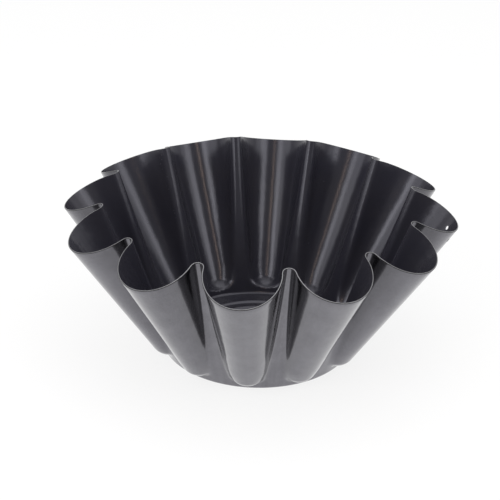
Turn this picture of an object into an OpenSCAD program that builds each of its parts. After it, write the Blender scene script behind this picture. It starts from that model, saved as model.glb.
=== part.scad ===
// Fluted brioche mould: one disc of thin sheet steel pressed into a twelve-fluted bowl,
// with a non-stick coat baked on inside. Millimetres, +Z up, origin at the middle of the
// underside of the base. The +X axis passes through the flute that has the two small holes.

/* [Overall size] */
// Diameter over the crests of the flutes at the rim
rim_d = 220; // [180:1:270]
// Height of the rim at the ridges, its highest points
height = 91; // [70:1:115]
// Diameter of the base, where the line of the wall meets the table
base_d = 109; // [90:1:135]
// How far the rim dips from each ridge to each crest, because the blank was a round disc
rim_dip = 11; // [4:0.5:16]

/* [Flutes] */
// Number of flutes round the mould
flutes = 12; // [10:1:14]
// Depth of a flute at the rim, from the crest in to the ridge
flute_depth = 23; // [16:0.5:26]
// Bend radius of a ridge at the rim, on its outer side
ridge_r = 3; // [2:0.1:4.5]
// Radius of the ball end at the foot of each flute
end_r = 11; // [9:0.1:12.5]
// Height of the lowest point of a flute's ball end above the table
end_gap = 3.4; // [2.5:0.1:6]
// Bend radius round the foot of a ball end, where it leaves the wall of the base
foot_bend_r = 1.5; // [1:0.1:3]
// Bend radius of a ridge beside the top of the ball ends, on its outer side
shoulder_bend_r = 4.5; // [3:0.1:6]

/* [Sheet] */
// Thickness of the steel sheet
sheet_t = 0.6; // [0.4:0.05:1]
// Thickness of the non-stick coat on the inside
coat_t = 0.05; // [0.03:0.01:0.1]

/* [Base] */
// Outer bend radius from the floor into the wall
corner_r = 2.2; // [1.6:0.1:3]
// Distance of the outer stiffening bead from the edge of the base
bead_inset = 11; // [8:0.5:16]
// Distance between the middles of the two stiffening beads
bead_pitch = 7; // [6:0.5:12]
// Width of a bead
bead_w = 4.4; // [3:0.1:5]
// Height of a bead above the floor
bead_h = 0.8; // [0.4:0.1:1.2]

/* [Small holes] */
// Diameter of each of the two small holes
hole_d = 2.5; // [1.5:0.1:4]
// Distance between the two holes, measured round the crest of the flute
hole_pitch = 16; // [8:0.5:20]
// Distance of the holes below the rim, measured down the wall
hole_drop = 6.5; // [5:0.5:12]

/* [Hidden] */

wall_t = sheet_t + coat_t;
rim_r = rim_d / 2;
foot_r = base_d / 2;
tip_r = rim_r - flute_depth;
crest_z = height - rim_dip;
pitch = 360 / flutes;
half = pitch / 2;

// Tilt of the ridges from the vertical: they run straight from the base's edge to the rim
ridge_tilt = atan2(tip_r - foot_r, height);
// Turn of the bend from the flat floor up into the wall of the base
corner_turn = 90 - ridge_tilt;

// Each flute ends in a ball whose centre stands over the edge of the base
end_z = end_gap + end_r;
reach = [rim_r - foot_r, crest_z - end_z];
// Tilt of the crests from the vertical: each is a line from the rim that is tangent to the ball
crest_tilt = atan2(reach.x, reach.y) - asin(end_r / norm(reach));

// How the dip of the rim grows from ridge to crest: 1 would be in proportion to the radius
dip_power = 1.15;
// The flute's section is a little wider than its ball at the height of the ball's centre
shoulder_swell = 1.03;

// Points across each half of a flute: on the ridge side and on the crest side
ridge_steps = 3;
crest_steps = 6;
// Steps up the corner, the ball ends and the straight wall above them
corner_steps = 2;
ball_steps = 3;
upper_steps = 2;

// Radii of the beads' middles
outer_bead_r = foot_r - bead_inset;
inner_bead_r = outer_bead_r - bead_pitch;
// Points across a bead
bead_steps = 8;
// The pressed wall starts at this radius, and the floor's disc overlaps it a little
corner_in = corner_r * tan(corner_turn / 2);
flat_end_r = foot_r - corner_in;
wall_start_r = mix(outer_bead_r + bead_w / 2, flat_end_r, 1 / 3);
floor_edge_r = mix(outer_bead_r + bead_w / 2, flat_end_r, 2 / 3);

function mix(a, b, t) = a + (b - a) * t;
function dir(a) = [cos(a), sin(a)];
function turned(p, a) = [p.x * cos(a) - p.y * sin(a), p.x * sin(a) + p.y * cos(a)];
function arc_len(r, a) = r * a * PI / 180;

// The radius of the wall between the flutes at height z, a distance t in from the outside
function wall_r(z, t) = foot_r + z * tan(ridge_tilt) - t / cos(ridge_tilt);

// The bend radius at which the ridge meets both of its flutes with no wall between
// r: radius of the ridge, b: radius of the flute arc's centre, c: radius of the flute arc
function free_bend(r, b, c) =
    let (room = c - r + b * cos(half))
    room > 0 ? (r * r + b * b - 2 * r * b * cos(half) - c * c) / (2 * room) : 1e6;

// The radius of the flute arc that a ridge of bend radius e meets with no wall between
function free_arc(r, crest, e) =
    let (a = r + e)
    (a * a + crest * crest - 2 * a * crest * cos(half) - e * e)
    / (2 * (e + crest - a * cos(half)));

// Half a flute's section, from the middle of the ridge to the crest, as points in the plane.
// r: radius at the ridge, crest: radius at the crest, c: radius of the flute arc,
// bend: largest bend radius of the ridge. Where the bend leaves room, the ridge follows
// the round wall of the base between its two bends.
function flute_half(r, crest, c, bend) =
    let (
        b = crest - c,
        e = min(free_bend(r, b, c), bend),
        a = r + e,
        start = half - acos(min(1, (a * a + b * b - (e + c) * (e + c)) / (2 * a * b))),
        bend_c = a * dir(start),
        arc_c = b * dir(half),
        meet = atan2(arc_c.y - bend_c.y, arc_c.x - bend_c.x),
        round_len = arc_len(r, start),
        bend_len = arc_len(e, start + 180 - meet)
    )
    concat(
        [for (i = [0:ridge_steps - 1])
            let (s = (round_len + bend_len) * i / ridge_steps)
            s < round_len
                ? r * dir(start * s / round_len)
                : bend_c + e * dir(start + 180 - (s - round_len) / e * 180 / PI)],
        [for (i = [0:crest_steps])
            arc_c + c * dir(mix(meet - 180, half, i / crest_steps))]
    );

// Where the ridge side ends on the lowest fluted ring, as an angle round the mould
function split_angle(t) =
    let (p = ball_half(1, t)[ridge_steps])
    atan2(p.y, p.x);

// Half a flute's width of a plain circle, with its points under those of the ring above
function circle_half(r, t) =
    let (s = split_angle(t))
    concat(
        [for (i = [0:ridge_steps - 1]) r * dir(s * i / ridge_steps)],
        [for (i = [0:crest_steps]) r * dir(mix(s, half, i / crest_steps))]
    );

// Depression of ring k of the ball end below its centre, from its lowest point to the crest line
function ball_angle(k) = mix(90, crest_tilt, k / ball_steps);
function ball_z(k, t) = end_z - (end_r - t) * sin(ball_angle(k));

// Half a section through ring k of the ball end
function ball_half(k, t) =
    let (c = (end_r - t) * cos(ball_angle(k)))
    let (bend = mix(foot_bend_r, shoulder_bend_r, k / ball_steps) + t)
    flute_half(wall_r(ball_z(k, t), t), foot_r + c, c, bend);

// Radius of the flute's arc at the rim: its ridges leave no flat wall between two bends
rim_arc_r = free_arc(tip_r, rim_r, ridge_r);

// Half a section of the straight wall above the ball ends, from u = 0 at the height of the
// ball's centre to u = 1 at the rim. The rim's edge stays square to the sheet, so its
// innermost line is the highest.
function upper_half(u, t) =
    let (
        r = mix(wall_r(end_z, t), tip_r - t * cos(ridge_tilt), u),
        crest = mix(foot_r + (end_r - t) / cos(crest_tilt), rim_r - t * cos(crest_tilt), u),
        c = mix(end_r * shoulder_swell, rim_arc_r, u) - t,
        bend = mix(shoulder_bend_r, ridge_r, u) + t,
        high = height + (t - wall_t) * sin(ridge_tilt),
        low = crest_z + (t - wall_t) * sin(crest_tilt)
    )
    [for (p = flute_half(r, crest, c, bend))
        let (s = max(0, min(1, (norm(p) - r) / (crest - r))))
        [p.x, p.y, mix(end_z, mix(high, low, pow(s, dip_power)), u)]];

// A ring of the surface: half sections are mirrored and turned round the mould
function level(pts, z) = [for (p = pts) [p.x, p.y, z]];
function placed(p, side, a) = let (q = turned([p.x, side * p.y], a)) [q.x, q.y, p.z];
function ring(pts) =
    let (n = len(pts) - 1)
    [for (k = [0:flutes - 1], i = [0:2 * n - 1])
        i < n
            ? placed(pts[i], 1, k * pitch - half)
            : placed(pts[2 * n - i], -1, k * pitch + half)];

// The bend from the floor into the wall, a distance t in from the outside
function corner_ring(i, t) =
    let (
        a = corner_turn * i / corner_steps,
        r = flat_end_r + (corner_r - t) * sin(a),
        z = corner_r - (corner_r - t) * cos(a)
    )
    ring(level(circle_half(r, t), z));

// The rows of the wall a distance t in from the outside: first the plain round ones of the
// base, which take every second point, and then the fluted ones up to the rim
function every_second(row) = [for (i = [0:2:len(row) - 1]) row[i]];
function plain_rows(t) =
    [for (row = concat(
        [ring(level(circle_half(wall_start_r, t), t))],
        [for (i = [0:corner_steps]) corner_ring(i, t)],
        [ring(level(circle_half(wall_r(ball_z(0, t), t), t), ball_z(0, t)))]
    )) every_second(row)];
function fluted_rows(t) =
    concat(
        [for (k = [1:ball_steps]) ring(level(ball_half(k, t), ball_z(k, t)))],
        [for (i = [0:upper_steps]) ring(upper_half(i / upper_steps, t))]
    );

// A closed skin between two such walls: t0 is the nearer to the outside
module skin(t0, t1) {
    sides = [for (t = [t0, t1]) concat(plain_rows(t), fluted_rows(t))];
    points = [for (side = sides) for (row = side) each row];
    plain = len(plain_rows(t0));
    rows = len(sides[0]);
    cols = len(sides[0][rows - 1]);
    flute_cols = cols / flutes;

    // Where the point of row i and column c of a side stands in the list of points
    function place(side, i, c) =
        side * len(points) / 2
        + (i < plain ? i * cols / 2 + floor(c % cols / 2) : (i - plain / 2) * cols + c % cols);
    // The triangles between two rows. A flute's halves are split as mirror images. Where two
    // columns share a point, the triangle that has shrunk to a line is left out.
    function strip(side, i, other_side, j) =
        [for (c = [0:cols - 1])
            let (
                a = place(side, i, c),
                b = place(side, i, c + 1),
                d = place(other_side, j, c),
                e = place(other_side, j, c + 1),
                first_half = c % flute_cols < flute_cols / 2
            )
            for (f = first_half ? [[a, d, e], [a, e, b]] : [[a, d, b], [b, d, e]])
                if (f[0] != f[1] && f[1] != f[2] && f[2] != f[0]) f];
    function flipped(faces) = [for (f = faces) [f[2], f[1], f[0]]];

    polyhedron(
        points,
        concat(
            [for (i = [0:rows - 2]) each strip(0, i, 0, i + 1)],
            [for (i = [0:rows - 2]) each flipped(strip(1, i, 1, i + 1))],
            strip(0, rows - 1, 1, rows - 1),
            strip(1, 0, 0, 0)
        )
    );
}

// The height of the floor's beads at radius r
function bead_z(r) =
    max([for (c = [inner_bead_r, outer_bead_r])
        abs(r - c) < bead_w / 2 ? bead_h * (1 + cos(360 * (r - c) / bead_w)) / 2 : 0]);

function bead_radii(c) = [for (i = [0:bead_steps]) c + bead_w * (i / bead_steps - 0.5)];

// The floor between distances t0 and t1 in from the outside
module floor_disc(t0, t1) {
    radii = concat([0], bead_radii(inner_bead_r), bead_radii(outer_bead_r), [floor_edge_r]);
    last = len(radii) - 1;
    rotate_extrude($fn = 96)
        polygon(concat(
            [for (r = radii) [r, t0 + bead_z(r)]],
            [for (i = [last:-1:0]) [radii[i], t1 + bead_z(radii[i])]]
        ));
}

// A point of the outside above the ball ends: u runs up to the rim, s round from the crest
function upper_point(u, s) =
    let (
        row = upper_half(u, 0),
        i = ridge_steps + crest_steps - s,
        a = floor(i),
        b = ceil(i)
    )
    mix(row[a], row[b], i - a);

// The two small holes: square to the wall, on either side of the crest on the +X axis
crest_len = norm(upper_point(1, 0) - upper_point(0, 0));
hole_u = 1 - hole_drop / crest_len;
hole_s = hole_pitch / 2 / norm(upper_point(hole_u, 1) - upper_point(hole_u, 0));
hole_reach = 4;

module small_holes() {
    step = 0.01;
    p = upper_point(hole_u, hole_s);
    along = upper_point(hole_u + step, hole_s) - p;
    across = upper_point(hole_u, hole_s + step) - p;
    out = cross(across, along) / norm(cross(across, along));
    for (side = [1, -1]) {
        c = placed(p, side, -side * half);
        n = placed(out, side, -side * half);
        translate(c)
            rotate([0, acos(n.z), atan2(n.y, n.x)])
                cylinder(h = hole_reach, d = hole_d, center = true, $fn = 48);
    }
}

// The pressed steel sheet
module pressed_shell() {
    color([0.36, 0.36, 0.38])
        difference() {
            union() {
                skin(0, sheet_t);
                floor_disc(0, sheet_t);
            }
            small_holes();
        }
}

// The non-stick coat that lines the inside, pierced by the same two holes
module nonstick_lining() {
    color([0.13, 0.13, 0.14])
        difference() {
            union() {
                skin(sheet_t, wall_t);
                floor_disc(sheet_t, wall_t);
            }
            small_holes();
        }
}

pressed_shell();
nonstick_lining();
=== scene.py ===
# %% [markdown]
# # A fluted brioche mould
#
# The mould is one round disc of thin steel, pressed into a bowl with twelve deep flutes. The
# inside is lined with a dark non-stick coat and the outside has a grey baked lacquer. The
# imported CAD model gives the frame: its box sets the sizes here, and nothing is moved in it.

# %% Load the frame
from cmath import phase, rect
from math import acos, asin, atan2, cos, degrees, hypot, pi, radians, sin, tan

import bmesh
import bpy
from mathutils import Matrix, Vector


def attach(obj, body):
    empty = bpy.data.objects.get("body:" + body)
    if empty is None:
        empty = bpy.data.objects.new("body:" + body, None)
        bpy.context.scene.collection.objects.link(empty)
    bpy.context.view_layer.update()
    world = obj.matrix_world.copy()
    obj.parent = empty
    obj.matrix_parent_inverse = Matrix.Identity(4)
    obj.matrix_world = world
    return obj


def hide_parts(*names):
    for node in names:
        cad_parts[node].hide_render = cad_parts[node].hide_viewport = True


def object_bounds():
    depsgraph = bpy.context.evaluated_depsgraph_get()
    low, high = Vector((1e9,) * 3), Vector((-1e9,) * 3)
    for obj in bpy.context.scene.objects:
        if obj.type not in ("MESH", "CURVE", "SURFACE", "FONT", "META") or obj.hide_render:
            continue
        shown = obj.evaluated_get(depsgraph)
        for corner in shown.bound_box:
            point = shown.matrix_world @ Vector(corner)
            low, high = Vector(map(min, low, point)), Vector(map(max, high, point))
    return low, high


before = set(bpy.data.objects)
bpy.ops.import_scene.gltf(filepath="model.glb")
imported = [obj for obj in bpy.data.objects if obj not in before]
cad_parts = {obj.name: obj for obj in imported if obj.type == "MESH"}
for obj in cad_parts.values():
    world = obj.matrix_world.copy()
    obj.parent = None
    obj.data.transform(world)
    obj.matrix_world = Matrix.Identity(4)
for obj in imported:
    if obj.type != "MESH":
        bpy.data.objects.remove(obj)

MM = 0.001


def in_mm(lengths):
    return [round(length / MM, 2) for length in lengths]


cad_low, cad_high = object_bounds()
print("CAD box:", in_mm((*cad_low, *cad_high)), "mm")

# %% [markdown]
# ## Sizes
#
# The rim's radius and the height come from the frame. The other sizes are those of the press
# tool. A crest is the line down the middle of a flute, where the mould is widest, and a ridge
# is the inward fold between two flutes. Above the round base each flute ends in a ball shape,
# and its straight crest runs from the rim until it touches that ball.

# %% Sizes
HAIR = 0.01 * MM             # keeps the model just inside the CAD box
RIM_R = cad_high.x           # the rim at a crest
HEIGHT = cad_high.z - HAIR   # the rim at a ridge
RIM_DIP = 11 * MM            # how much lower the rim is at a crest
FLUTE_DEPTH = 23 * MM        # from crest to ridge, at the rim
FOOT_R = 54.5 * MM           # the round base
SHEET = 0.6 * MM
COAT = 0.05 * MM
WALL = SHEET + COAT

FLUTES = 12
PITCH = 2 * pi / FLUTES
HALF = PITCH / 2             # from the middle of a ridge to the next crest

END_R = 11 * MM              # the ball at the end of a flute
END_LOW = 3.4 * MM           # its lowest point
END_Z = END_LOW + END_R
RIDGE_BEND = 3 * MM          # radius of the bend round a ridge, at the rim
SHOULDER_BEND = 4.5 * MM     # the same beside the balls' centres
FOOT_BEND = 1.5 * MM         # the same at the foot

TIP_R = RIM_R - FLUTE_DEPTH  # the rim at a ridge
CREST_Z = HEIGHT - RIM_DIP
RIDGE_TILT = atan2(TIP_R - FOOT_R, HEIGHT)
reach = (RIM_R - FOOT_R, CREST_Z - END_Z)
CREST_TILT = atan2(*reach) - asin(END_R / hypot(*reach))
print(f"ridges lean {degrees(RIDGE_TILT):.1f} degrees, crests {degrees(CREST_TILT):.1f}")

# %% [markdown]
# ## Half a flute in plan
#
# Cut level, the wall is a chain of arcs: a wide arc round each crest and a tight bend round
# each ridge. Near the foot a piece of the round base shows between two bends. Curves drawn by
# eye would do too, but arcs that touch leave no kink at any height. Half of one flute is
# enough, because the rest is its mirror image, turned round the axis. Points in plan are
# complex numbers here: `rect(r, angle)` is a point, and a product with it is a turn.

# %% Half a flute in plan
RIDGE_STEPS = 8
CREST_STEPS = 14


def mix(a, b, t):
    return a + (b - a) * t


def flute_half(ridge_r, crest_r, arc_r, bend_r):
    """From the middle of the ridge, at angle 0, to the crest, at half a pitch."""
    arc_at = crest_r - arc_r
    room = arc_r - ridge_r + arc_at * cos(HALF)
    if room > 0:
        # The widest bend that fits has its centre at angle 0.
        touching = ridge_r**2 + arc_at**2 - 2 * ridge_r * arc_at * cos(HALF) - arc_r**2
        bend_r = min(bend_r, touching / (2 * room))
    bend_at = ridge_r + bend_r
    apart = bend_at**2 + arc_at**2 - (bend_r + arc_r) ** 2
    start = HALF - acos(min(1, apart / (2 * bend_at * arc_at)))
    bend_centre, arc_centre = rect(bend_at, start), rect(arc_at, HALF)
    meet = phase(arc_centre - bend_centre)
    round_len = ridge_r * start
    length = round_len + bend_r * (start + pi - meet)
    points = []
    for i in range(RIDGE_STEPS):
        s = length * i / RIDGE_STEPS
        if s < round_len:
            points.append(rect(ridge_r, s / ridge_r))
        else:
            points.append(bend_centre + rect(bend_r, start + pi - (s - round_len) / bend_r))
    for i in range(CREST_STEPS + 1):
        points.append(arc_centre + rect(arc_r, mix(meet - pi, HALF, i / CREST_STEPS)))
    return points


def touching_arc(ridge_r, crest_r, bend_r):
    """The radius of the crest's arc when it runs straight into the ridge's bend."""
    a = ridge_r + bend_r
    top = a * a + crest_r**2 - 2 * a * crest_r * cos(HALF) - bend_r**2
    return top / (2 * (bend_r + crest_r - a * cos(HALF)))


RIM_ARC = touching_arc(TIP_R, RIM_R, RIDGE_BEND)
print(f"arc of a flute at the rim: {RIM_ARC / MM:.1f} mm")

# %% [markdown]
# ## The levels of the press tool
#
# The tool's surface is a stack of such plans, from the middle of the floor to the rim. The
# ball-shaped ends of the flutes are worked out first, because the floor's points follow them.
# Each ring of a ball is a level cut through it, so its arc grows from almost nothing to the
# width of the flute.

# %% Levels of the ball ends
BALL_STEPS = 14
FOOT_ANGLE = radians(83)     # the lowest ring of a ball; at 90 degrees it would be a point


def ridge_wall_r(z):
    """The radius of the wall at a ridge, which is a straight line from the foot to the rim."""
    return FOOT_R + z * tan(RIDGE_TILT)


def ball_level(t):
    """Ring t of a ball end, from 0 at its lowest to 1 where the straight crest starts."""
    angle = mix(FOOT_ANGLE, CREST_TILT, t)
    z, arc = END_Z - END_R * sin(angle), END_R * cos(angle)
    bend = mix(FOOT_BEND, SHOULDER_BEND, t)
    return [(p, z) for p in flute_half(ridge_wall_r(z), FOOT_R + arc, arc, bend)]


ball_levels = [ball_level(i / BALL_STEPS) for i in range(BALL_STEPS + 1)]
print(f"ball ends from {ball_levels[0][0][1] / MM:.2f} to {ball_levels[-1][0][1] / MM:.2f} mm")

# %% [markdown]
# The straight wall stands on the balls. The blank's edge is a circle. Pressing draws it
# further in at the ridges, where it rises higher, so the finished rim dips at every crest.
# The cut is square to the wall, which leaves its inner corner higher than the outer one: that
# part of the height is taken off here, because the tool's surface is the mould's outside.

# %% Levels of the wall
WALL_STEPS = 22
SHOULDER_SWELL = 1.03        # the flutes are a little wider than their balls
DIP_POWER = 1.15             # above 1, the tips of the ridges are blunt
RIM_HIGH = HEIGHT - WALL * sin(RIDGE_TILT)
RIM_LOW = CREST_Z - WALL * sin(CREST_TILT)


def wall_plan(u):
    """Radii of ridge, crest, arc and bend, from 0 beside the balls' centres to 1 at the rim."""
    ridge = mix(ridge_wall_r(END_Z), TIP_R, u)
    crest = mix(FOOT_R + END_R / cos(CREST_TILT), RIM_R, u)
    arc = mix(END_R * SHOULDER_SWELL, RIM_ARC, u)
    return ridge, crest, arc, mix(SHOULDER_BEND, RIDGE_BEND, u)


def wall_level(u):
    """A ring of the wall, each point raised by how far it is from the crest."""
    plan = wall_plan(u)
    ridge, crest = plan[:2]
    ring = []
    for p in flute_half(*plan):
        s = max(0, min(1, (abs(p) - ridge) / (crest - ridge)))
        ring.append((p, mix(END_Z, mix(RIM_HIGH, RIM_LOW, s**DIP_POWER), u)))
    return ring


wall_levels = [wall_level(i / WALL_STEPS) for i in range(WALL_STEPS + 1)]
print(f"rim from {RIM_LOW / MM:.2f} mm at a crest to {RIM_HIGH / MM:.2f} mm at a ridge")

# %% [markdown]
# The floor has two ring beads that stiffen it. In section each is one wave of a cosine, which
# is close to the soft bend that a press leaves. Then comes the round corner between floor and
# wall. The points of these circles stand under those of the flutes, so that the columns of
# the mesh run straight up.

# %% Levels of the floor
MIDDLE_RINGS = 5
MIDDLE_STEP = 8 * MM         # between the rings of the plain middle
BEADS = (FOOT_R - 18 * MM, FOOT_R - 11 * MM)
BEAD_W = 4.4 * MM
BEAD_H = 0.8 * MM
BEAD_STEPS = 10
CORNER_R = 2.2 * MM          # the round corner between floor and wall
CORNER_STEPS = 5
BELOW_BALLS = (0.2, 1)       # rings between that corner and the balls, as shares of the way


def circle_level(r, z):
    split = phase(ball_level(0)[RIDGE_STEPS][0])
    ridge_side = [split * i / RIDGE_STEPS for i in range(RIDGE_STEPS)]
    crest_side = [mix(split, HALF, i / CREST_STEPS) for i in range(CREST_STEPS + 1)]
    return [(rect(r, a), z) for a in ridge_side + crest_side]


def floor_levels():
    rings = [circle_level(i * MIDDLE_STEP, 0) for i in range(MIDDLE_RINGS)]
    for middle in BEADS:
        for i in range(BEAD_STEPS + 1):
            wave = i / BEAD_STEPS
            r = middle + BEAD_W * (wave - 0.5)
            rings.append(circle_level(r, BEAD_H * (1 - cos(2 * pi * wave)) / 2))
    return rings


def corner_levels():
    turn = pi / 2 - RIDGE_TILT
    inner = FOOT_R - CORNER_R * tan(turn / 2)
    rings = [circle_level(mix(BEADS[1] + BEAD_W / 2, inner, 0.5), 0)]
    for i in range(CORNER_STEPS + 1):
        a = turn * i / CORNER_STEPS
        rings.append(circle_level(inner + CORNER_R * sin(a), CORNER_R * (1 - cos(a))))
    for share in BELOW_BALLS:
        z = mix(CORNER_R, END_LOW, share)
        rings.append(circle_level(ridge_wall_r(z), z))
    return rings


levels = floor_levels() + corner_levels() + ball_levels + wall_levels
print(len(levels), "levels of", len(levels[0]), "points for half a flute")

# %% [markdown]
# Each half is mirrored at its crest and set round the axis twelve times, which gives closed
# rings. The list of rings is the press tool: ring, then column.

# %% Close the rings
def closed(half):
    n = len(half) - 1
    ring = []
    for k in range(FLUTES):
        left, right = rect(1, k * PITCH - HALF), rect(1, k * PITCH + HALF)
        ring += [(p * left, z) for p, z in half[:n]]
        ring += [(p.conjugate() * right, z) for p, z in half[:0:-1]]
    return [Vector((p.real, p.imag, z)) for p, z in ring]


tool = [closed(level) for level in levels]
COLUMNS = len(tool[0])
print(COLUMNS, "columns round the mould")

# %% [markdown]
# ## The blank, and pressing it
#
# The real mould starts as a flat disc. A ready-made cylinder could be bent into shape, but
# following the real work is simpler: a row of points is spun round the axis into a disc, one
# step for each column, and pressing moves every point of it to its place on the tool. The
# disc's faces come from the spin, so no face list is needed.

# %% Spin a blank and press it
SAME_PLACE = 1e-4            # only the points in the middle of the blank are this close


def blank(rows):
    bm = bmesh.new()
    line = [bm.verts.new((i, 0, 0)) for i in range(rows)]
    edges = [bm.edges.new(pair) for pair in zip(line, line[1:])]
    bmesh.ops.spin(bm, geom=line + edges, cent=(0, 0, 0), axis=(0, 0, 1), dvec=(0, 0, 0),
                   angle=2 * pi, steps=COLUMNS, use_merge=True, use_duplicate=False)
    bmesh.ops.remove_doubles(bm, verts=bm.verts[:], dist=SAME_PLACE)
    return bm


def press(bm):
    """Moves each point of the flat disc to its ring and column, with normals that face out."""
    for v in bm.verts:
        column = round(atan2(v.co.y, v.co.x) / (2 * pi) * COLUMNS) % COLUMNS
        v.co = tool[round(v.co.length)][column]
    bmesh.ops.recalc_face_normals(bm, faces=bm.faces[:])
    bm.normal_update()
    middle = min(bm.verts, key=lambda v: v.co.xy.length)
    if middle.normal.z > 0:
        bmesh.ops.reverse_faces(bm, faces=bm.faces[:])
        bm.normal_update()


skin = blank(len(tool))
press(skin)
print("the pressed skin has", len(skin.verts), "points and", len(skin.faces), "faces")

# %% [markdown]
# ## From skin to sheet
#
# So far the skin has no thickness. A Solidify modifier gives it the sheet's 0.6 mm, all of it
# inwards, so the outside keeps the tool's sizes, and evenly, also round the tight bends.
# Moving a second skin inwards by hand would need its rim closed as well, which the modifier
# does by itself.

# %% Thicken the shell
def mesh_object(name, bm):
    mesh = bpy.data.meshes.new(name)
    bm.to_mesh(mesh)
    bm.free()
    obj = bpy.data.objects.new(name, mesh)
    bpy.context.scene.collection.objects.link(obj)
    return obj


def thicken(obj, thickness):
    solid = obj.modifiers.new("thickness", "SOLIDIFY")
    solid.thickness = thickness
    solid.offset = -1
    solid.use_even_offset = True
    solid.use_quality_normals = True


shell = mesh_object("steel_shell", skin.copy())
thicken(shell, SHEET)
print(f"{shell.name}: {SHEET / MM:.2f} mm thick")

# %% [markdown]
# ## Two small holes
#
# The two small holes near the rim let the mould hang from a hook while its coats are baked.
# They lie on either side of the crest that faces +X, and each is square to the wall there.
# Their places are worked out on the wall's own plan, so they would follow any change to it.

# %% Place the holes
HOLE_PITCH = 16 * MM
HOLE_DROP = 6.5 * MM         # from the rim down to the holes, along the crest

crest_column = RIDGE_STEPS + CREST_STEPS
crest_line = tool[-1][crest_column] - tool[-1 - WALL_STEPS][crest_column]
hole_u = 1 - HOLE_DROP / crest_line.length
hole_z = wall_level(hole_u)[-1][1]
hole_crest, hole_arc = wall_plan(hole_u)[1:3]
hole_turn = HOLE_PITCH / 2 / hole_arc    # from the crest to a hole, as an angle


def hole_frame(side):
    """The middle of a hole and the way it points, from the slopes of the wall."""
    a = side * hole_turn
    middle = Vector((hole_crest - hole_arc + hole_arc * cos(a), hole_arc * sin(a), hole_z))
    out = Vector((cos(a), sin(a), -tan(CREST_TILT) * cos(a))).normalized()
    return middle, out


print("holes at", [in_mm(hole_frame(side)[0]) for side in (-1, 1)])

# %% [markdown]
# The holes could be built into the rings of points, but that would disturb the even mesh. A
# Boolean modifier with a round cutter pierces them as a punch would, and leaves the mesh
# round them as it was.

# %% Pierce the holes
HOLE_D = 2.5 * MM
HOLE_SIDES = 40
CUTTER_LEN = 6 * MM


def cutter(side):
    middle, out = hole_frame(side)
    matrix = Matrix.Translation(middle) @ out.to_track_quat("Z", "Y").to_matrix().to_4x4()
    bm = bmesh.new()
    bmesh.ops.create_cone(bm, cap_ends=True, segments=HOLE_SIDES, radius1=HOLE_D / 2,
                          radius2=HOLE_D / 2, depth=CUTTER_LEN, matrix=matrix)
    return mesh_object("cutter", bm)


def pierce(obj, cutters):
    for punch in cutters:
        cut = obj.modifiers.new("hole", "BOOLEAN")
        cut.operation = "DIFFERENCE"
        cut.solver = "EXACT"
        cut.object = punch


cutters = [cutter(side) for side in (-1, 1)]
pierce(shell, cutters)
print(len(shell.modifiers), "modifiers on", shell.name)

# %% [markdown]
# The modifiers are now applied, which leaves a plain mesh with its thickness and its holes,
# and that mesh is opened for the work that follows.

# %% Apply the modifiers
def opened(obj):
    """Applies the modifiers and gives the resulting mesh, open for editing."""
    graph = bpy.context.evaluated_depsgraph_get()
    mesh = bpy.data.meshes.new_from_object(obj.evaluated_get(graph))
    obj.modifiers.clear()
    obj.data = mesh
    bm = bmesh.new()
    bm.from_mesh(mesh)
    return bm


sheet = opened(shell)
print("the sheet has", len(sheet.faces), "faces")

# %% [markdown]
# ## The cut edge
#
# The rim of the real sheet was sheared, and deburring left its outer corner slightly round. A
# bevel on the mesh itself makes it, because a Bevel modifier would also round the rims of the
# holes. The cut face and the rounded corner get material slots of their own.

# %% Round the outer corner of the rim
SHARP_CORNER = radians(60)   # sharper than any bend of the sheet itself
RIM_BAND = 1 * MM            # edges further than this below the lowest rim are left alone
RIM_CORNER_R = 0.27 * MM     # a little under half the sheet
CUT_SLOT, CORNER_SLOT = 1, 2


def round_corner(bm, radius):
    """Bevels the rim's sharp outer edge, and gives the cut and the corner their slots."""
    corner = []
    for edge in bm.edges:
        if min(v.co.z for v in edge.verts) < CREST_Z - RIM_BAND:
            continue
        down = [face for face in edge.link_faces if face.normal.z < 0]
        if down and edge.calc_face_angle(0) > SHARP_CORNER:
            corner.append(edge)
            for face in edge.link_faces:
                if face.normal.z > 0:
                    face.material_index = CUT_SLOT
    made = bmesh.ops.bevel(bm, geom=corner, offset=radius, offset_type="OFFSET", segments=3,
                           profile=0.5, affect="EDGES", material=-1)
    for face in made["faces"]:
        face.material_index = CORNER_SLOT
    print("corner edges rounded:", len(corner), "into", len(made["faces"]), "faces")


round_corner(sheet, RIM_CORNER_R)

# %% [markdown]
# ## Which way the wall faces
#
# On the crests the outside faces squarely away from the axis, and on the flanks of the grooves
# it faces round it. Painting a mask for that by hand would take long, but the normals know it:
# each point keeps a number, called outward_facing, for how squarely the wall there faces away
# from the axis. The lacquer's material reads it further down to paint shade on the flanks.

# %% Note the outward facing, and smooth the mesh
SMOOTH_TURN = radians(40)    # edges that turn by more stay sharp


def note_outward_facing(bm):
    """From 0 where the wall faces round the axis to 1 where it faces away from it, or faces
    down.
    """
    bm.normal_update()
    outward_facing = bm.verts.layers.float.new("outward_facing")
    for v in bm.verts:
        way = v.normal.xy
        v[outward_facing] = 1 - way.length + abs(way.dot(v.co.xy.normalized()))


def smooth_and_close(obj, bm):
    """Shades all but the sharp edges smooth, and writes the mesh back to its object."""
    for face in bm.faces:
        face.smooth = True
    for edge in bm.edges:
        edge.smooth = edge.calc_face_angle(0) < SMOOTH_TURN
    bm.to_mesh(obj.data)
    bm.free()
    print(obj.name, len(obj.data.polygons), "faces,", in_mm(obj.dimensions), "mm")


note_outward_facing(sheet)
smooth_and_close(shell, sheet)

# %% [markdown]
# The shell rides on the CAD model's only body and stands for its node of pressed steel.

# %% Hand over the steel shell
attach(shell, "root")
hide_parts("pressed_shell")
print(shell.name, "stands for pressed_shell")

# %% [markdown]
# ## The non-stick lining
#
# The coat is bonded to the inside of the sheet. It could be only a second colour on the
# shell, but a skin of its own gives it the real coat's thickness and edge, and lets it be
# handled as a piece. Its skin is the same pressed blank, moved in by the sheet's thickness.

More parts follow.
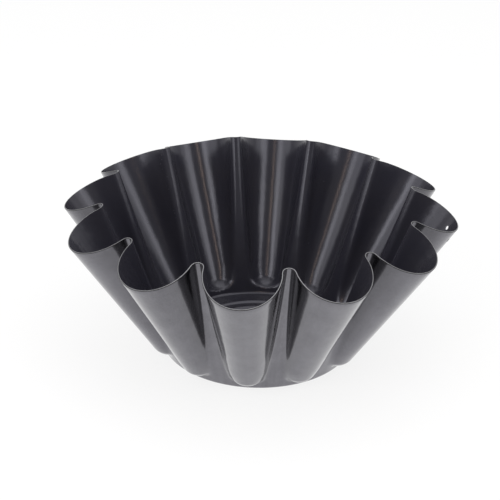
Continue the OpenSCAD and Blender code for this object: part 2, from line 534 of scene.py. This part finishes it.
# %% The non-stick lining
def inset(bm, depth):
    """Moves the whole skin inwards by a depth, square to itself."""
    moved = [v.co - v.normal * v.calc_shell_factor() * depth for v in bm.verts]
    for v, place in zip(bm.verts, moved):
        v.co = place


inset(skin, SHEET)
lining = mesh_object("nonstick_coat", skin)
thicken(lining, COAT)
pierce(lining, cutters)
smooth_and_close(lining, opened(lining))
for punch in cutters:
    bpy.data.objects.remove(punch)
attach(lining, "root")
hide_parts("nonstick_lining")

# %% [markdown]
# ## A small language for materials
#
# A material is a tree of nodes, which could be drawn in the Shader Editor, but written down
# it is easier to follow. `Wire` wraps one socket, so that sums and products of wires add
# their Math nodes by themselves. `Finish` makes any other node from its type, its settings
# and what goes into its sockets.

# %% Wires and finishes
class Wire:
    """The value on one socket."""

    def __init__(self, finish, socket):
        self.finish, self.socket = finish, socket

    def maths(self, operation, a, b):
        return self.finish.node("ShaderNodeMath", {"operation": operation}, {0: a, 1: b})

    def __add__(self, other):
        return self.maths("ADD", self, other)

    def __mul__(self, other):
        return self.maths("MULTIPLY", self, other)

    def __sub__(self, other):
        return self.maths("SUBTRACT", self, other)

    def __rsub__(self, other):
        return self.maths("SUBTRACT", other, self)

    __radd__ = __add__
    __rmul__ = __mul__


class Finish:
    """The nodes of one material, or of the world."""

    def __init__(self, owner):
        owner.use_nodes = True
        owner.node_tree.nodes.clear()
        self.owner, self.tree = owner, owner.node_tree

    def node(self, kind, settings=None, inputs=None, output=0):
        """Adds a node, fills its sockets with values or wires, and gives one output's wire."""
        made = self.tree.nodes.new(kind)
        for key, value in (settings or {}).items():
            setattr(made, key, value)
        for key, value in (inputs or {}).items():
            if isinstance(value, Wire):
                self.tree.links.new(value.socket, made.inputs[key])
            else:
                made.inputs[key].default_value = value
        return Wire(self, made.outputs[output]) if made.outputs else None

    def done(self, output_kind, shader):
        self.node(output_kind, None, {"Surface": shader})
        print(self.owner.name, "has", len(self.tree.nodes), "nodes")
        return self.owner


# %% [markdown]
# Three things are needed again and again: blending two colours, a value that rises between
# two limits, and noise. The noise reads Object coordinates, in metres, so its grain has a real
# size and stays on the piece.

# %% Blends, rises and grain
GRAIN_DETAIL = 2.0


def blend(finish, share, a, b):
    """Goes from colour a to colour b as the share goes from 0 to 1."""
    return finish.node("ShaderNodeMix", {"data_type": "RGBA"},
                       {"Factor": share, "A": a, "B": b}, "Result")


def rise(finish, value, start, end, low=0.0, shape="SMOOTHSTEP"):
    """Goes from low to 1 as the value goes from start to end, and is level outside them."""
    return finish.node("ShaderNodeMapRange", {"interpolation_type": shape},
                       {"Value": value, "From Min": start, "From Max": end, "To Min": low})


def place_on(finish):
    return finish.node("ShaderNodeTexCoord", None, None, "Object")


def noise(finish, vector, scale, detail):
    return finish.node("ShaderNodeTexNoise", None,
                       {"Vector": vector, "Scale": scale, "Detail": detail})


def grain(finish, size):
    """Even noise with bumps of about the size given."""
    return noise(finish, place_on(finish), 1 / size, GRAIN_DETAIL)


def relief(finish, height):
    """Turns heights in millimetres into normals."""
    return finish.node("ShaderNodeBump", None,
                       {"Height": height, "Strength": 1.0, "Distance": MM})


# %% [markdown]
# ## Streaks that run up the wall
#
# Pressing draws the sheet, and the coats flow a little as they bake, so both have faint lines
# that run from the floor to the rim. A noise that changes quickly round the axis and slowly
# along it gives them. The direction from the axis, as a point on a unit circle, is used
# instead of an angle, because it has no seam.

# %% Streaks
STREAK_DETAIL = 3.0


def vector_maths(finish, operation, inputs):
    return finish.node("ShaderNodeVectorMath", {"operation": operation}, inputs)


def streaks(finish, across, along):
    """Noise with about across bumps to the radian, and along bumps to the metre of height."""
    place = place_on(finish)
    flat = vector_maths(finish, "MULTIPLY", {0: place, 1: (1, 1, 0)})
    way = vector_maths(finish, "NORMALIZE", {0: flat})
    round_axis = vector_maths(finish, "SCALE", {0: way, "Scale": across})
    up = vector_maths(finish, "MULTIPLY", {0: place, 1: (0, 0, along)})
    both = vector_maths(finish, "ADD", {0: round_axis, 1: up})
    return noise(finish, both, 1.0, STREAK_DETAIL)


# %% [markdown]
# ## Painted shade in the grooves, and where the lacquer is worn
#
# On the flanks of the grooves, where the wall faces round the axis, a dark tone is painted into
# the lacquer as shade. At the foot, which slides over shelves, the lacquer is rubbed down to
# the steel in patches. Both are masks, from 0 to 1. They come from the noted facing and from
# the height, so they sit on the mould itself and need no image texture.

# %% Painted groove shade and worn places
FLANK_FACING, CREST_FACING = 0.3, 0.87  # the facing where the painted shade is deepest, and where it ends
GROOVE_SHADE_SHARE = 0.36          # how much of the dark tone is painted in where the shade is deepest
WEAR_LOW, WEAR_HIGH = 1.2 * MM, 2.2 * MM     # worn all over below, and not at all above
WEAR_PATCH, WEAR_RAGGED = 2.5 * MM, 2 * MM   # the patches' size, and how far they reach


# Darkens the flanks of the grooves toward a dark tone: painted shade.
def painted_groove_shade(coat):
    outward_facing = coat.node("ShaderNodeAttribute", {"attribute_name": "outward_facing"}, None, "Fac")
    return (1 - rise(coat, outward_facing, FLANK_FACING, CREST_FACING)) * GROOVE_SHADE_SHARE


def rubbed_foot(coat):
    """1 at the foot and 0 above it, with an edge that patches make ragged."""
    z = coat.node("ShaderNodeSeparateXYZ", None, {"Vector": place_on(coat)}, "Z")
    ragged = z + grain(coat, WEAR_PATCH) * WEAR_RAGGED
    return rise(coat, ragged, WEAR_HIGH, WEAR_LOW, shape="LINEAR")


# %% [markdown]
# ## The grey lacquer outside
#
# A baked lacquer with metal flake mirrors its surroundings weakly, and more at a glancing
# angle, as a dark metal does, so a high Metallic with a grey Base Color suits it better than
# a plain paint. Mirroring is also what turns the grooves between the flutes black: there the
# surface sees only itself, and each bounce takes most of the light away. Painted shade on the
# flanks of the grooves darkens them further. A weak clear coat on top brightens the outlines
# of the flutes.

# %% Grey lacquer
LACQUER = (0.071, 0.069, 0.078, 1), (0.253, 0.249, 0.274, 1)
# Dark tones painted as shade in the grooves and on the rim's rounded corner.
PAINTED_SHADE_TONES = (0.01, 0.01, 0.011, 1), (0.04, 0.039, 0.043, 1)
BARE_STEEL = (0.42, 0.415, 0.43, 1)
WEAR_SHARE = 0.7             # how much of the steel shows where the lacquer is worn

FLOW = 14.0, 3.0             # its streaks, across and along
FLAKE, CLOUD, PEEL = 1.1 * MM, 9 * MM, 0.5 * MM
FLOW_SHARE, FLAKE_SHARE, CLOUD_SHARE = 0.35, 0.35, 0.3
CLOUD_HEIGHT, PEEL_HEIGHT = 0.12, 0.006      # in millimetres
GLOSS, FLAKE_MATT, WORN_MATT = 0.08, 0.1, 0.12   # roughness, and what is added to it


def lacquer(name, dark, light):
    coat = Finish(bpy.data.materials.new(name))
    flake, cloud = grain(coat, FLAKE), grain(coat, CLOUD)
    tone = streaks(coat, *FLOW) * FLOW_SHARE + flake * FLAKE_SHARE + cloud * CLOUD_SHARE
    worn = rubbed_foot(coat)
    shade = blend(coat, tone, dark, light)
    # Painted shade: the flanks of the grooves are darkened toward a dark tone.
    shade = blend(coat, painted_groove_shade(coat), shade, PAINTED_SHADE_TONES[0])
    shade = blend(coat, worn * WEAR_SHARE, shade, BARE_STEEL)
    height = grain(coat, PEEL) * PEEL_HEIGHT + cloud * CLOUD_HEIGHT
    shader = coat.node("ShaderNodeBsdfPrincipled", None, {
        "Base Color": shade,
        "Metallic": 0.97,
        "Roughness": GLOSS + flake * FLAKE_MATT + worn * WORN_MATT,
        "Coat Weight": 0.3,
        "Coat Roughness": 0.1,
        "Normal": relief(coat, height),
    })
    return coat.done("ShaderNodeOutputMaterial", shader)


shell.data.materials.append(lacquer("grey_lacquer", *LACQUER))

# %% [markdown]
# ## The cut edge of the rim
#
# The rim is the sheared edge of the blank. Hardly any lacquer stays on its narrow face, so the
# steel shows there, with the fine breaks that shears leave. The rounded corner below it has the
# same lacquer finish in dark tones, which paint a dark line of shade under the rim. Two slots
# are enough for this, and no mask has to be painted.

# %% Cut edge and corner
SHEARED = (0.145, 0.144, 0.15, 1), (0.34, 0.338, 0.348, 1)
BREAK, BREAK_HEIGHT = 0.8 * MM, 0.02         # the height is in millimetres
CUT_MATT, BREAK_MATT = 0.25, 0.2             # roughness, and what the breaks add


def cut_edge():
    steel = Finish(bpy.data.materials.new("cut_edge"))
    breaks = grain(steel, BREAK)
    shader = steel.node("ShaderNodeBsdfPrincipled", None, {
        "Base Color": blend(steel, breaks, *SHEARED),
        "Metallic": 1.0,
        "Roughness": CUT_MATT + breaks * BREAK_MATT,
        "Normal": relief(steel, breaks * BREAK_HEIGHT),
    })
    return steel.done("ShaderNodeOutputMaterial", shader)


shell.data.materials.append(cut_edge())
# The rim's rounded corner gets the lacquer in dark tones: a painted dark line of shade.
shell.data.materials.append(lacquer("rim_corner_shade", *PAINTED_SHADE_TONES))

# %% [markdown]
# ## The non-stick coat inside
#
# It is nearly black and glossy, with large patches of slightly different tone. A plain black
# would look like plastic, so fine streaks and specks vary its roughness, and shallow waves in
# the coat bend the reflections, so that their edges waver as they do on a sprayed and baked
# surface.

# %% Non-stick coat
COAT_TONES = (0.0165, 0.0165, 0.0265, 1), (0.028, 0.0265, 0.0315, 1)
COAT_GLINT = (0.9, 0.895, 1, 1)
COAT_FLOW = 22.0, 2.5        # its streaks, across and along
PATCH = 28 * MM
WAVE, WAVE_HEIGHT = 16 * MM, 0.22            # heights are in millimetres
RIPPLE, RIPPLE_HEIGHT = 5 * MM, 0.06
SPECK, SPECK_HEIGHT = 1.2 * MM, 0.02
PORE, PORE_HEIGHT = 0.45 * MM, 0.009
COAT_GLOSS, LINE_MATT, SPECK_MATT = 0.06, 0.18, 0.14   # roughness, and what is added to it


def nonstick():
    coat = Finish(bpy.data.materials.new("dark_nonstick"))
    lines, speck = streaks(coat, *COAT_FLOW), grain(coat, SPECK)
    height = grain(coat, PORE) * PORE_HEIGHT + speck * SPECK_HEIGHT
    height = height + grain(coat, RIPPLE) * RIPPLE_HEIGHT + grain(coat, WAVE) * WAVE_HEIGHT
    shader = coat.node("ShaderNodeBsdfPrincipled", None, {
        "Base Color": blend(coat, grain(coat, PATCH), *COAT_TONES),
        "Roughness": COAT_GLOSS + lines * LINE_MATT + speck * SPECK_MATT,
        "Specular Tint": COAT_GLINT,
        "Normal": relief(coat, height),
    })
    return coat.done("ShaderNodeOutputMaterial", shader)


lining.data.materials.append(nonstick())
print("materials:", [m.name for m in (*shell.data.materials, *lining.data.materials)])

# %% [markdown]
# ## Floor and light
#
# The mould stands on a plain white table. A Light Path node tells what kind of ray arrives, so
# the table can show as pure white to the camera and in reflections, and still light the mould
# at a plain level. Stronger lamps would make it white too, but would wash out the mould.

# %% The white table
WHITE = (1, 1, 1, 1)
CARD = (0.95, 0.95, 0.95, 1)
GLOW_SHARE = 0.8             # the rest is matt card, which shows the mould's shadow
TABLE_HALF = 3               # metres


def is_ray(finish, kind):
    return finish.node("ShaderNodeLightPath", None, None, f"Is {kind} Ray")


def white_floor():
    paint = Finish(bpy.data.materials.new("white_floor"))
    card = paint.node("ShaderNodeBsdfDiffuse", None, {"Color": CARD})
    glow = paint.node("ShaderNodeEmission", None, {"Color": WHITE, "Strength": 1.0})
    share = is_ray(paint, "Camera") * GLOW_SHARE
    share = share + is_ray(paint, "Glossy") + is_ray(paint, "Transmission")
    mixed = paint.node("ShaderNodeMixShader", None, {"Fac": share, 1: card, 2: glow})
    return paint.done("ShaderNodeOutputMaterial", mixed)


top = bmesh.new()
bmesh.ops.create_grid(top, x_segments=1, y_segments=1, size=TABLE_HALF)
floor = mesh_object("floor", top)
floor.data.materials.append(white_floor())

# %% [markdown]
# The camera sees plain white all round. For everything else the room is dimmer behind the
# camera than behind the mould, as a studio is, and the lacquer and the coat mirror that.

# %% The white room
DIM = 0.36                   # the room's brightness behind the camera
DIM_TO, BRIGHT_FROM = -0.35, 0.25            # how far a ray points away from the camera


def studio():
    room = Finish(bpy.data.worlds.new("studio"))
    way = room.node("ShaderNodeTexCoord", None, None, "Generated")
    back = room.node("ShaderNodeSeparateXYZ", None, {"Vector": way}, "Y")
    wall = rise(room, back, DIM_TO, BRIGHT_FROM, low=DIM)
    light = wall + is_ray(room, "Camera") * (1 - wall)
    glow = room.node("ShaderNodeBackground", None, {"Color": WHITE, "Strength": light})
    return room.done("ShaderNodeOutputWorld", glow)


bpy.context.scene.world = studio()

# %% [markdown]
# ## Lamps
#
# A tall soft box stands on each side of the camera, bright in its middle and fading outwards,
# so each is made of a bright core and a wide, fainter box behind and beside it. Their
# reflections are the light bands down the flutes and the thin lines on the ridges. A narrow
# warm strip above the camera gives the thin warm lines, and a faint box overhead lights the
# floor of the mould. Each box is placed by its turn to the right of the camera and its lift
# above the table, in degrees, and faces the mould. Its sizes are in metres.

# %% Lamps
CAMERA_SIDE = radians(-84.6)                 # where the camera stands round the table
NEAR, FAR = 1.3, 1.35
WARM = (1, 0.74, 0.54)


def softbox(name, turn, lift, away, width, height, radiance, colour=(1, 1, 1)):
    lamp = bpy.data.lights.new(name, "AREA")
    lamp.shape = "RECTANGLE"
    lamp.size, lamp.size_y = width, height
    lamp.energy = radiance * pi * width * height
    lamp.color = colour
    obj = bpy.data.objects.new(name, lamp)
    a, e = CAMERA_SIDE + radians(turn), radians(lift)
    obj.location = Vector((cos(a) * cos(e), sin(a) * cos(e), sin(e))) * away
    obj.rotation_euler = obj.location.to_track_quat("Z", "Y").to_euler()
    bpy.context.scene.collection.objects.link(obj)
    print(f"{name}: {lamp.energy:.2f} W")


softbox("left_core", turn=-36, lift=33, away=NEAR, width=0.4, height=0.95, radiance=2.4)
softbox("left_wide", turn=-58, lift=26, away=FAR, width=1.2, height=1.15, radiance=1.5)
softbox("right_core", turn=53, lift=36, away=NEAR, width=0.5, height=0.8, radiance=1.8)
softbox("right_wide", turn=62, lift=28, away=FAR, width=0.95, height=1.0, radiance=1.2)
softbox("warm_strip", turn=-5, lift=41, away=NEAR, width=0.06, height=0.45, radiance=7.5,
        colour=WARM)
softbox("top_box", turn=0, lift=89, away=NEAR, width=1.2, height=1.2, radiance=0.9)

# %% [markdown]
# ## Camera
#
# The camera stands where the photograph was taken from: 27 degrees above the table, about
# 0.8 m away, with a long lens and a roll of one degree. That is what makes the render and the
# photograph fit over each other.

# %% Camera
CAMERA_AT = Vector((62.6, -712.1, 419.0)) * MM
AIM = Vector((-4.88, -0.46, 57.5)) * MM
LENS, SENSOR = 102.4, 36
ROLL = radians(0.96)

camera = bpy.data.objects.new("camera", bpy.data.cameras.new("camera"))
bpy.context.scene.collection.objects.link(camera)
camera.data.sensor_width = SENSOR
camera.data.lens = LENS
camera.location = CAMERA_AT
look = (AIM - CAMERA_AT).to_track_quat("-Z", "Y")
camera.rotation_mode = "QUATERNION"
camera.rotation_quaternion = look @ Matrix.Rotation(ROLL, 4, "Z").to_quaternion()
bpy.context.scene.camera = camera
bpy.context.scene.view_settings.view_transform = "Standard"
print(f"camera {(AIM - CAMERA_AT).length:.2f} m from what it looks at")
